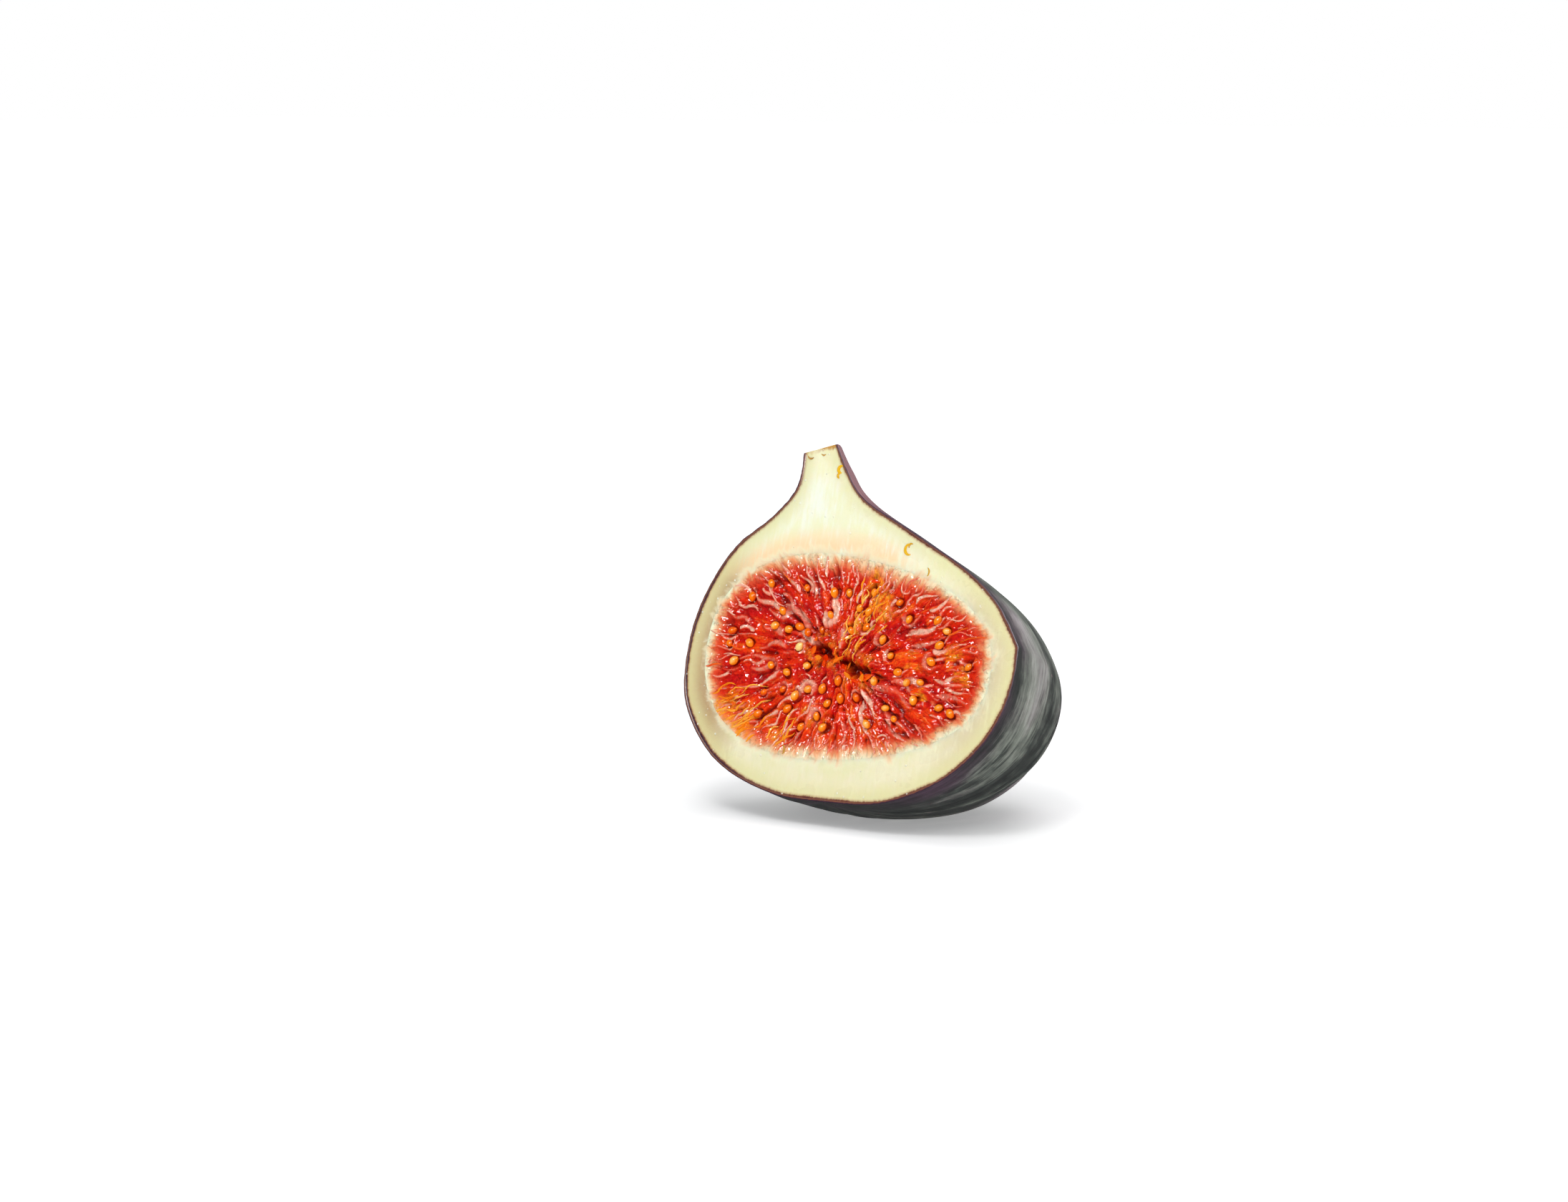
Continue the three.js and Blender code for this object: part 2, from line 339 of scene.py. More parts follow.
class Finish:
    """A material or a world that is being made, with one method for each kind of pattern."""

    def __init__(self, made, last="Principled BSDF"):
        made.use_nodes = True
        self.made = made
        self.tree = made.node_tree
        self.last = self.tree.nodes[last]

    def node(self, kind, inputs=(), output=0, stops=None, **settings):
        """Adds a node with its settings, sets or links its inputs, and gives one of its outputs."""
        made = self.tree.nodes.new(kind)
        for name, value in settings.items():
            setattr(made, name, value)
        if stops:
            ramp = made.color_ramp.elements
            while len(ramp) < len(stops):
                ramp.new(1.0)
            for element, (position, colour) in zip(ramp, stops):
                element.position = position
                element.color = (*colour, 1.0)
        pairs = inputs.items() if isinstance(inputs, dict) else enumerate(inputs)
        for name, value in pairs:
            self.put(made.inputs[name], value)
        return Wire(self, made.outputs[output])

    def put(self, socket, value):
        """Links a wire to a socket, or sets the socket to a number, a vector or a colour."""
        if isinstance(value, Wire):
            self.tree.links.new(value.socket, socket)
        elif isinstance(value, tuple) and any(isinstance(part, Wire) for part in value):
            self.put(socket, self.vector(*value))
        elif socket.type == "RGBA":
            socket.default_value = (*value, 1.0)
        else:
            socket.default_value = value

    def attribute(self, name):
        """A layer of the mesh."""
        return self.node("ShaderNodeAttribute", output="Fac", attribute_name=name)

    def place(self):
        """The object's own coordinates."""
        return self.node("ShaderNodeTexCoord", output="Object")

    def face_axes(self):
        """The object's own coordinates on the cut face's axes, in millimetres: u and v."""
        mapping = {"Vector": self.place(), "Rotation": (LEAN, 0, 0), "Scale": (1 / MM,) * 3}
        turned = self.node("ShaderNodeMapping", mapping)
        u = self.node("ShaderNodeSeparateXYZ", [turned], output="X")
        v = Wire(self, u.socket.node.outputs["Z"])
        low_v = PLACE[2] * math.cos(LEAN) + PLACE[1] * math.sin(LEAN)
        return u - PLACE[0], v - low_v

    def vector(self, x, y=0.0, z=0.0):
        """A vector from numbers and wires."""
        return self.node("ShaderNodeCombineXYZ", (x, y, z))

    def grain(self, vector, scale=1.0, detail=2, roughness=0.5):
        """Noise about 0.5."""
        values = {"Vector": vector, "Scale": scale, "Detail": detail, "Roughness": roughness}
        return self.node("ShaderNodeTexNoise", values)

    def dots(self, vector, scale, radius, share):
        """Soft round dots in a share of the cells of a Voronoi pattern."""
        cells = self.node("ShaderNodeTexVoronoi", {"Vector": vector, "Scale": scale}, output="Distance")
        colour = Wire(self, cells.socket.node.outputs["Color"])
        pick = self.node("ShaderNodeSeparateColor", [colour])
        return cells.step(radius, radius * 0.5) * pick.step(1 - share, 1 - share + 0.02)

    def mix(self, factor, first, second):
        """Two colours mixed."""
        return self.node("ShaderNodeMix", {0: factor, 6: first, 7: second}, 2, data_type="RGBA")

    def lay_over(self, colour, coats):
        """A colour with coats of (mask, colour) laid over it in turn."""
        for mask, over in coats:
            colour = self.mix(mask, colour, over)
        return colour

    def ramp(self, value, stops):
        """A colour from stops of (value, colour)."""
        return self.node("ShaderNodeValToRGB", [value], stops=stops)

    def bump(self, height, distance):
        """A normal for a height, with a distance in millimetres."""
        return self.node("ShaderNodeBump", {"Height": height, "Distance": distance * MM, "Strength": 1.0})

    def surface(self, **values):
        """Sets or links the last node's sockets, named with _ for a space."""
        for name, value in values.items():
            self.put(self.last.inputs[name.replace("_", " ")], value)
        return self.made


def skin_finish(look):
    """Purple skin under a grey-green waxy bloom, brushed in fine fibres along the fruit, with painted shade
    low down.
    """
    finish = Finish(bpy.data.materials.new("fig_skin"))
    turn, rise, depth = (finish.attribute(name) for name in ("turn", "rise", "depth"))
    place = finish.place()
    sway = finish.grain((turn * 5, rise * 3), detail=1)
    lane = turn + sway.swing(0.08)
    bands = finish.grain((lane * 12, rise * 1.8, 3.0), detail=3)
    broad = finish.grain((turn * 4, rise * 4, 8.0))
    fibres = finish.grain((lane * 90, rise * 9, 1.0), detail=3, roughness=0.6)
    hairs = finish.grain((lane * 260, rise * 20, 5.0), roughness=0.6)
    mottle = finish.grain(place, 420.0, detail=4, roughness=0.62)

    # The wax sets the colour. It is paler up the fruit and darker low down, which is painted shade from light
    # that falls from above.
    wax = 0.39 + bands.swing(1.6) + fibres.swing(0.7) + hairs.swing(0.7) + mottle.swing(0.6)
    wax = wax + broad.swing(0.5) + rise.step(0.1, 0.6) * 0.26 - rise.step(0.3, 0.0) * 0.2
    wax = wax * (0.5 + 0.5 * depth.step(0.3, 4.5)) - depth.step(9.0, 24.0) * 0.08
    green = finish.ramp(wax, [(0.05, look.dark), (0.35, look.slate), (0.65, look.bloom), (1.0, look.frost)])
    purple = finish.ramp(wax, [(0.05, look.ink), (0.35, look.purple), (0.65, look.mauve), (1.0, look.lilac)])
    warm = rise.step(0.45, 0.78) * 0.6 + depth.step(7.0, 0.5) * 0.5 + depth.step(12.0, 26.0) * 0.3
    warm = warm + broad.swing(2.4) + bands.swing(1.6)
    lenticels = finish.dots((turn * 60, rise * 40), 1.0, 0.16, 0.14)
    rim = depth.step(0.02, -0.04)
    edge_noise = finish.grain((rise * 160, turn * 2, 2.0))
    inner = (0 - depth + edge_noise.swing(0.7)).step(0.25, 0.85)
    colour = finish.lay_over(green, [
        (warm.step(0.1, 1.1), purple),
        (lenticels * 0.55, look.lenticel),
        (rise.step(0.72, 0.84) * 0.7, look.stem),
        (rim, finish.mix(inner, look.edge, look.edge_inner)),
    ])

    height = fibres * 0.5 + hairs * 0.3 + bands * 0.6 + mottle * 0.4
    rough = 0.5 + wax.step(0.0, 1.0) * 0.2 - rim * 0.15
    return finish.surface(
        Base_Color=colour, Roughness=rough, Normal=finish.bump(height, 0.09), Specular_IOR_Level=0.3,
        Subsurface_Weight=0.06, Subsurface_Radius=(1.0, 0.4, 0.5), Subsurface_Scale=0.0008,
        Sheen_Weight=0.06, Sheen_Roughness=0.5, Coat_Weight=0.08, Coat_Roughness=0.35,
    )


def cut_colour(finish, inside, u, v, look):
    """Cream that warms to peach and then to red, in fine fibres that run towards the middle of the fig.
    Gives the colour, how warm it is, and the fibres."""
    x, y, z = (finish.attribute(name) for name in ("flow_x", "flow_y", "flow_z"))
    sway = finish.grain((u, v, 9.0), 0.4, detail=0).swing(1.6)
    flow = finish.vector(x * 15 + sway, y * 15 + sway, z * 2.6)
    fibres = finish.grain(flow, 1.0)
    fine = finish.grain(flow, 3.4, roughness=0.6)
    patchy = finish.grain((u, v), 0.22)
    reach = inside + fibres.swing(2.8) + fine.swing(1.1) + patchy.swing(3.0)
    stops = [
        (0.0, look.cream), (0.2, look.cream), (0.34, look.peach), (0.46, look.salmon), (0.6, look.rose),
        (0.82, look.red),
    ]
    soft = (v.step(25.0, 33.0) + v.step(13.0, 7.0) * 0.8) * (patchy + 0.3)
    warmth = (reach + 1.3 + soft * 1.2) / (5.2 + soft * 3.0)
    return finish.ramp(warmth, stops), warmth, fibres, fine


def flesh_finish(look):
    """Moist cream flesh: greener by the skin, peach by the pulp, with a thin brown line under the skin and
    painted shade at its sides.
    """
    finish = Finish(bpy.data.materials.new("fig_flesh"))
    u, v = finish.face_axes()
    inside, to_skin, to_knife = (finish.attribute(name) for name in ("inside", "to_skin", "to_knife"))
    warm, warmth, fibres, fine = cut_colour(finish, inside, u, v, look)
    clouds = finish.grain((u, v, 2.0), 0.17, detail=3)
    veins = finish.grain((u * 1.6, v * 0.28, 5.0), 1.0, detail=3, roughness=0.6)
    high = v.step(31.0, 39.0) - v.step(42.0, 47.0) * 0.7
    # Painted shade: the flesh at its sides, by the pulp, is darker, more so on the left.
    beside = ((u - PULP_CENTRE.x) * (u - PULP_CENTRE.x)).step(180.0, 560.0)
    painted_side_shade = (beside * (1.0 - u.step(-10.0, 24.0) * 0.65) + 0.12) * v.step(36.0, 28.0)
    blush = inside.step(-4.6, -0.8) * v.step(28.0, 33.0) * u.step(12.0, 4.0)
    blush = blush * (clouds + veins).step(0.7, 1.1)
    ragged = to_skin + fine.swing(0.35) + clouds.swing(0.5)
    ragged = ragged - u.step(-6.0, -22.0) * v.step(36.0, 26.0) * 0.25 + v.step(36.0, 42.0) * 0.12
    top = to_knife + veins.swing(1.2)
    end = to_knife.step(0.0, -0.1)
    specks = finish.dots((u, v), 0.85, 0.16, 0.3)
    colour = finish.lay_over(finish.mix(high, look.cream, look.neck), [
        ((clouds - 0.5 + veins.swing(0.6)).step(-0.08, 0.22) * 0.6, look.green),
        (painted_side_shade * (clouds + veins - 1.0).step(-0.5, 0.0), look.shade),
        (blush * 0.75, look.blush),
        (warmth.step(0.1, 0.34), warm),
        (ragged.step(3.2, 0.5) * 0.7, look.rind),
        (ragged.step(0.62, 0.16) * 0.7, look.tan),
        (ragged.step(0.32, 0.08), look.brown),
        (ragged.step(0.1, -0.1), look.line),
        (top.step(0.7, 0.1) * (clouds - 0.35).step(0.0, 0.2), look.bruise),
        (end * (0.4 + veins * 0.6), look.tan),
        (specks * 0.7, look.speck),
    ])
    wet = finish.grain((u, v, 1.0), 1.7, detail=3, roughness=0.6)
    height = wet * 0.5 + fibres * 0.25 + veins * 0.3 + specks * 0.6
    return finish.surface(
        Base_Color=colour, Roughness=0.3 + clouds.swing(0.3) + end * 0.4, Normal=finish.bump(height, 0.14),
        Subsurface_Weight=0.35, Subsurface_Radius=(1.0, 0.62, 0.35), Subsurface_Scale=0.0016,
        Coat_Weight=(0.35 + specks * 0.5) * (1 - end), Coat_Roughness=0.12, IOR=1.4,
    )


def pulp_finish(look, flesh):
    """Wet red gel of many florets with pale walls between them, amber threads, and painted shade in its
    pockets.
    """
    finish = Finish(bpy.data.materials.new("fig_pulp"))
    u, v = finish.face_axes()
    names = ("inside", "wall", "pit", "amber", "tone")
    inside, wall, pit, amber, tone = (finish.attribute(name) for name in names)
    fringe, _, fibres, fine = cut_colour(finish, inside, u, v, flesh)
    mottle = finish.grain((u, v, 7.0), 0.9, detail=3, roughness=0.6)
    gel = finish.ramp(tone + mottle.swing(0.3) + fibres.swing(0.9) + fine.swing(0.6), [
        (0.0, look.deep), (0.28, look.crimson), (0.52, look.red), (0.76, look.scarlet), (1.0, look.orange),
    ])
    gel = finish.mix(fine.step(0.56, 0.72) * fibres.step(0.4, 0.6) * 0.35, gel, flesh.salmon)
    gold = finish.ramp(mottle * 0.4 + fine * 0.8, [
        (0.4, look.scarlet), (0.55, look.orange), (0.68, look.amber), (0.85, look.straw),
    ])
    faded = wall * (0.75 + mottle.step(0.35, 0.6) * 0.3)
    colour = finish.lay_over(fringe, [
        ((inside + fibres.swing(4)).step(1.4, 4.2), gel),
        (amber * (0.5 + fine.step(0.4, 0.6) * 0.5), gold),
        # Painted shade in the pockets of the relief.
        (pit.step(0.1, 0.9) * 0.9, look.deep),
        (faded.step(0.1, 0.6) * 0.8, look.veil),
        (faded.step(0.34, 0.85) * 0.9, look.wall),
    ])
    beads = finish.grain((u, v, 3.0), 1.3, detail=1, roughness=0.4)
    dew = finish.grain((u, v, 6.0), 2.6, detail=0)
    height = beads * 0.9 + fibres * 0.35 + fine * 0.12 + dew * mottle.step(0.5, 0.6) * 0.9
    return finish.surface(
        Base_Color=colour, Roughness=0.35, Normal=finish.bump(height, 0.3),
        Subsurface_Weight=0.18, Subsurface_Radius=(1.0, 0.16, 0.1), Subsurface_Scale=0.0008,
        Coat_Weight=0.85, Coat_Roughness=0.04, Coat_IOR=1.5, IOR=1.4, Specular_IOR_Level=0.05,
    )


def seed_finish(look):
    """Small golden seeds, some deep in red juice, with painted shade at their bases and painted light on
    their tops.
    """
    finish = Finish(bpy.data.materials.new("fig_seeds"))
    place = finish.place()
    tone = finish.attribute("tone")
    mottle = finish.grain(place, 1400.0)
    # The tone's low end also paints shade at each seed's base, and its high end light on its top; cut seeds
    # are fully pale.
    colour = finish.ramp(tone + mottle.swing(0.25), [
        (0.0, look.juice), (0.3, look.amber_seed), (0.7, look.gold), (0.95, look.pale),
    ])
    return finish.surface(
        Base_Color=colour, Roughness=0.4, Normal=finish.bump(mottle, 0.02), Coat_Weight=0.9,
        Coat_Roughness=0.04, Coat_IOR=1.5, Specular_IOR_Level=0.0,
    )


def thread_finish(name, colours):
    """Wet threads and scales, each with its own tone."""
    finish = Finish(bpy.data.materials.new(name))
    place = finish.place()
    tone = finish.attribute("tone")
    mottle = finish.grain(place, 900.0)
    stops = [(i / (len(colours) - 1), colour) for i, colour in enumerate(colours)]
    colour = finish.ramp(tone + mottle.swing(0.3), stops)
    return finish.surface(
        Base_Color=colour, Roughness=0.4, Normal=finish.bump(mottle, 0.05), Coat_Weight=0.8,
        Coat_Roughness=0.05, Coat_IOR=1.5, Specular_IOR_Level=0.0,
    )


def floor_finish(look):
    """A pale matt floor that glows a little, painted light that lightens the shadow near the fruit, and more
    so far away, so that no horizon shows.
    """
    finish = Finish(bpy.data.materials.new("floor"))
    place = finish.place()
    cloud = finish.grain(place, 3.0)
    dim = tuple(channel * 0.985 for channel in look.floor)
    away = finish.node("ShaderNodeVectorMath", [place], operation="LENGTH", output="Value")
    # Painted light: the glow lifts the floor's shadow near the fruit and whitens it far away.
    glow = finish.mix(away.step(0.08, 0.4), (0.29, 0.29, 0.29), (0.5, 0.5, 0.5))
    glow = finish.mix(away.step(0.4, 1.2), glow, (0.7, 0.7, 0.7))
    colour = finish.mix(cloud, look.floor, dim)
    return finish.surface(Base_Color=colour, Roughness=0.7, Emission_Color=glow, Emission_Strength=1.0)


def skin_patches(bm, thickness):
    """The skin's outside, inside, and the strips between them round the cut and on the stem."""
    columns, rows, strip_columns, crowding = 230, 176, 4, 0.6

    def around_at(a):
        """The angle of a column. Columns stand closer together towards the cut."""
        return math.pi * (a - crowding * math.sin(2 * math.pi * a) / (2 * math.pi))

    def lump(x, y, z):
        return noise.noise(Vector((x, y, z)))

    def wrinkle(along, around):
        """Soft lumps all over, folds on the neck, and nicks along the cut."""
        lumps = 0.16 * lump(math.cos(around) * 3.2, math.sin(around) * 3.2, along * 9)
        neck = smoothstep(0.55, 0.74, along) * smoothstep(0.86, 0.8, along)
        folds = 0.1 * neck * math.cos(38 * around + 3 * lump(around * 2, along * 8, 0))
        near_cut = math.exp(-((min(around, math.pi - around) / 0.035) ** 2))
        nicks = 0.1 * lump(along * 60, around, 0) + 0.05 * lump(along * 170, around, 5)
        return lumps + folds + near_cut * nicks + rib_height(along, around, FINE_RIBS)

    def outside(a, b):
        around = around_at(a)
        along = b * stem_top(around, 0.0)
        relief = wrinkle(along, around) * smoothstep(0.0, 0.05, along)
        u, v, w = fruit_point(along, around, 0.0, relief=relief)
        return set_down(u, v, w), {"turn": around / math.pi, "rise": along, "depth": w + 0.03}

    def inside(a, b):
        around = around_at(a)
        along = b * stem_top(around, thickness)
        u, v, w = fruit_point(along, around, thickness)
        return set_down(u, v, w, thickness), {"turn": around / math.pi, "rise": along, "depth": -1.0}

    def strip(a, b, across, bulge):
        """A point across the skin's cut edge, which bulges a little out of the cut."""
        (outer, values), (inner, _) = outside(a, b), inside(a, b)
        point = outer.lerp(inner, across)
        # The strips' ends stay flat, because they meet the strip on the stem there.
        if b < 1:
            point -= Vector((0, math.cos(LEAN), -math.sin(LEAN))) * (bulge * math.sin(math.pi * across) * MM)
        return point, {**values, "depth": values["depth"] - 0.05 * (across > 0) - across}

    patch(bm, columns, rows, outside)
    patch(bm, columns, rows, inside)
    for side in (0.0, 1.0):
        patch(bm, strip_columns, rows, lambda across, b: strip(side, b, across, 0.05))
    patch(bm, columns, strip_columns, lambda a, across: strip(a, 1.0, across, 0.0))


def flesh_patches(bm, inset):
    """The flesh's cut face, its outside under the skin, the stem's top, and the hollow for the pulp."""
    rows, columns, steps, rings, hollow_rings = 170, 40, 12, 46, 8
    edge_points = [
        fruit_point(i / EDGE_STEPS, around, inset) for i in range(EDGE_STEPS + 1) for around in (0.0, math.pi)
    ]
    flat = search_tree([(u, v, 0) for u, v, _ in edge_points])

    def fields(u, v, w):
        """The layers at a point. The red of the pulp fades quickly behind the cut."""
        point = Vector((u, v))
        return {
            "inside": inside_pulp(point) - 3 * max(w, 0),
            "to_skin": flat.find((u, v, 0))[2],
            "to_knife": knife_height(u) - v,
            **flow_layers(point),
        }

    def shell(a, b):
        along = b * stem_top(a * math.pi, inset)
        u, v, w = fruit_point(along, a * math.pi, inset)
        return set_down(u, v, w, inset), {"inside": FAR_OUT, "to_skin": 0.0, "to_knife": knife_height(u) - v}

    def top_point(around):
        """A point where the flesh's outside ends at the knife's cut."""
        return Vector(fruit_point(stem_top(around, inset), around, inset))

    ends = [top_point(math.pi), top_point(0.0)]

    def stem_end(a, b):
        """The stem's top, from the middle of its cut edge to its rim."""
        rim_point = top_point(a * math.pi)
        place = ((ends[0] + ends[1]) / 2).lerp(rim_point, b)
        return set_down(*place), {"inside": FAR_OUT, "to_skin": (1 - b) * 2.4, "to_knife": b - 1}

    def border():
        """The rim of the cut face: down its right side, up its left, and across the knife's line."""
        tops = stem_top(0.0, inset), stem_top(math.pi, inset)
        right = [fruit_point(i / rows * tops[0], 0.0, inset) for i in range(rows, -1, -1)]
        left = [fruit_point(i / rows * tops[1], math.pi, inset) for i in range(1, rows + 1)]
        line = [ends[0].lerp(ends[1], i / (2 * steps)) for i in range(1, 2 * steps)]
        return [Vector((u, v)) for u, v, _ in [*right, *left, *line]]

    rim = border()

    def face(a, b):
        """The cut face, from its rim to the hollow: a dip under the skin, and soft waves."""
        start = rim[round(a * len(rim)) % len(rim)]
        offset = start - PULP_CENTRE
        end = PULP_CENTRE + offset.normalized() * reach_towards(offset)
        u, v = start.lerp(end, b * b if b < 0.5 else lerp(b * b, b, (b - 0.5) * 2))
        to_skin = flat.find((u, v, 0))[2]
        inside = inside_pulp(Vector((u, v)))
        w = 0.1 * math.exp(-to_skin / 0.35) * smoothstep(0.0, 0.3, b)
        w += 0.035 * ripple(u, v, 1.6) * smoothstep(0, 0.4, to_skin) * (1 - b)
        w = lerp(w, seam_depth(u, v), smoothstep(-0.9, 0.0, inside))
        w = w if b > 0 else 0.0
        return set_down(u, v, w, inset if w <= 0 else 0), fields(u, v, 0)

    def hollow(a, b):
        """The hollow's wall, from its edge to its deepest point."""
        start = rim[round(a * len(rim)) % len(rim)]
        offset = start - PULP_CENTRE
        swing = b * math.pi / 2
        point = PULP_CENTRE + offset.normalized() * (reach_towards(offset) * math.cos(swing))
        w = lerp(seam_depth(*point), PULP_HALF[2] * math.sin(swing), smoothstep(0, 0.05, b))
        return set_down(point.x, point.y - DROOP * w * (b > 0), w), fields(point.x, point.y, w)

    patch(bm, columns, rows, shell)
    patch(bm, columns, steps, stem_end)
    patch(bm, len(rim), rings, face)
    patch(bm, len(rim), hollow_rings, hollow)


def on_core_line(point):
    """The point as a complex number, with the ends of the core's line at -1 and 1, and half of that line."""
    middle, half = (CORE[0] + CORE[1]) / 2, complex(*((CORE[1] - CORE[0]) / 2))
    return complex(*(point - middle)) / half, half


def to_flow(point):
    """The point on the flow of the florets: how far it is from the core's line, and round it."""
    place, _ = on_core_line(point)
    return cmath.acosh(place if abs(place.imag) > 1e-4 else place + 1e-4j)


def inwards(point):
    """The way to the core from a point, on a hyperbola that meets the core's line squarely."""
    place, half = on_core_line(point)
    slope = -cmath.sqrt(place - 1) * cmath.sqrt(place + 1) * half
    return Vector((slope.real, slope.imag)).normalized()


def inwards_angle(point):
    """The angle of the way to the core."""
    heading = inwards(point)
    return math.atan2(heading.y, heading.x)


def flow_layers(point):
    """Layers that let a shader draw fibres along the flow."""
    flow = to_flow(point)
    return {"flow_x": math.cos(flow.imag), "flow_y": math.sin(flow.imag), "flow_z": flow.real}


def on_oval(turn, share):
    """A point at a share of the way from the middle of the pulp to its edge, evenly spread for even turns."""
    angle = math.atan2(PULP_HALF[1] * math.sin(turn), PULP_HALF[0] * math.cos(turn))
    return PULP_CENTRE + facing(angle) * (hollow_reach(angle) * share)


class Florets:
    """The florets as a cut shows them: wavy walls that run to the core, gel between them, and seeds."""

    STEP = 0.12
    CELL = 0.5  # the grid that finds near walls quickly
    WALL_GAP = 0.5
    SEED_GAP = 1.75
    # Walls start in rings: walls in a ring, share of the way out, lengths, widths, share of walls that hook.
    RINGS = [
        (84, 1.0, (3.0, 9.0), (0.14, 0.36), 0.1), (56, 0.86, (4.5, 11.0), (0.34, 0.95), 0.25),
        (44, 0.68, (3.5, 9.0), (0.34, 1.0), 0.35), (28, 0.48, (2.5, 6.0), (0.24, 0.7), 0.35),
        (12, 0.3, (1.2, 3.0), (0.14, 0.3), 0.3),
    ]
    # Amber patches, the six with golden threads first: centre, radius
    AMBER = [
        ((5.2, 27.5), 2.6), ((3.0, 30.2), 2.3), ((0.8, 24.6), 2.0), ((-19.5, 10.8), 2.8),
        ((-16.0, 8.8), 2.4), ((-10.0, 8.4), 1.7),
        ((17.5, 21.8), 1.9), ((19.5, 19.0), 1.9), ((13.0, 16.0), 1.3),
    ]
    GOLDEN = AMBER[:6]

    def __init__(self, look):
        self.draw = random.Random(look.seed)
        self.samples = []
        self.cells = {}
        self.seeds = []
        for count, share, lengths, widths, hooks in self.RINGS:
            for i in range(count):
                turn = (i + self.draw.uniform(-0.4, 0.4)) / count * 2 * math.pi
                start = on_oval(turn, share + self.draw.uniform(-0.07, 0.05))
                length, width = self.draw.uniform(*lengths), self.draw.uniform(*widths)
                self.add_wall(start, length, width, self.draw.random() < hooks)
        self.add_seeds(look.seeds)
        self.walls = search_tree([(*place, 0) for place, _, _ in self.samples])
        self.pips = search_tree([(*place, 0) for place in self.seeds])

    def cell(self, place):
        return round(place.x / self.CELL), round(place.y / self.CELL)

    def is_taken(self, place):
        """Whether another wall runs too near."""
        column, row = self.cell(place)
        near = (self.cells.get((column + i, row + j), ()) for i in (-1, 0, 1) for j in (-1, 0, 1))
        return any((place - other).length < self.WALL_GAP for group in near for other in group)

    def add_wall(self, spot, length, width, hooks):
        """A wall that sways towards the core, and may end in a hook round a seed."""
        draw = self.draw
        sway, wave, phase = draw.uniform(0.2, 0.65), draw.uniform(3.2, 8.0), draw.uniform(0, 6.3)
        side, bend = draw.choice((-1, 1)), draw.uniform(0.75, 1.0)
        straight = max(length - bend * 3.4, 0.8) if hooks else length
        own, travelled, heading = [], 0.0, None
        while travelled < length and inside_pulp(spot) > -0.9 and core_distance(spot) > 0.8:
            if self.is_taken(spot):
                break
            if travelled < straight:
                heading = inwards(spot)
                heading.rotate(Matrix.Rotation(sway * math.sin(2 * math.pi * travelled / wave + phase), 2))
            else:
                heading.rotate(Matrix.Rotation(side * self.STEP / bend, 2))
                if not own or travelled - self.STEP < straight:
                    self.add_seed(spot + quarter_turn(heading) * side * bend)
            share = travelled / length
            swell = lerp(0.3, 1.0, smoothstep(0.0, 0.75, share)) * (1 - smoothstep(0.85, 1.0, share) * 0.6)
            own.append((spot.copy(), width * swell * (1 + 0.3 * ripple(*spot, 1.4, 2.0))))
            spot = spot + heading * self.STEP
            travelled += self.STEP
        pale = draw.uniform(0.5, 1.0)
        for place, wide in own:
            self.samples.append((place, wide, pale))
            self.cells.setdefault(self.cell(place), []).append(place)

    def add_seed(self, place):
        """A seed, if it is well inside the pulp and clear of the others."""
        clear = all((place - other).length > self.SEED_GAP for other in self.seeds)
        if clear and inside_pulp(place) > 2.6 and core_distance(place) > 1.3:
            self.seeds.append(place)

    def add_seeds(self, count):
        """More seeds between the walls, until there are enough."""
        while len(self.seeds) < count:
            self.add_seed(on_oval(self.draw.uniform(0, 2 * math.pi), self.draw.uniform(0.25, 0.86)))

    def look_at(self, point):
        """Height over the cut, and the layers, at a point of the face."""
        u, v = point
        inside = inside_pulp(point)
        layers = flow_layers(point)

        # Strands of gel that run to the core
        flow = Vector((layers["flow_x"], layers["flow_y"], 0)) * 12 + Vector((0, 0, layers["flow_z"] * 2.6))
        flow.z += 0.5 * ripple(u, v, 1.5, 11.0)
        strand = noise.noise(flow) + 0.45 * noise.noise(flow * 2.3)
        fine = noise.noise(flow * 5.5)

        # The nearest wall with its rounded ridge, and the nearest seed with its nest
        _, i, distance = self.walls.find((u, v, 0))
        _, wide, pale = self.samples[i]
        wall = smoothstep(1.7, 0.2, distance / wide)
        ridge = math.sqrt(max(0.0, 1 - (distance / (wide * 1.5)) ** 2))
        _, _, to_seed = self.pips.find((u, v, 0))
        nest = smoothstep(1.1, 0.6, to_seed)

        # Painted shade: dark pockets between strands, beside walls, round seeds and in the core, where shade
        # falls
        depth_in = smoothstep(0.3, 3.2, inside)
        core = core_distance(point)
        hollow = smoothstep(-0.2, -0.6, strand)
        beside = smoothstep(wide * 3.2, wide * 1.3, distance) * (1 - wall)
        pit = max(hollow * 0.8, beside * 0.5, nest * 0.75, smoothstep(1.25, 0.4, core) * 0.95)

        # The relief, which lies level with the flesh at the fringe and falls away at the core
        blobs = 0.2 * ripple(u, v, 0.8, 31.0) + 0.08 * ripple(u, v, 0.4, 33.0)
        height = -0.5 + 0.42 * strand + 0.1 * fine + blobs + 0.32 * ridge - 0.3 * nest - 0.35 * hollow
        height -= 1.9 * smoothstep(1.3, 0.1, core) - 0.35 * smoothstep(4.5, 1.5, core)
        fringe = -seam_depth(u, v) + (0.25 * strand + 0.12 * fine) * smoothstep(0, 1, inside)

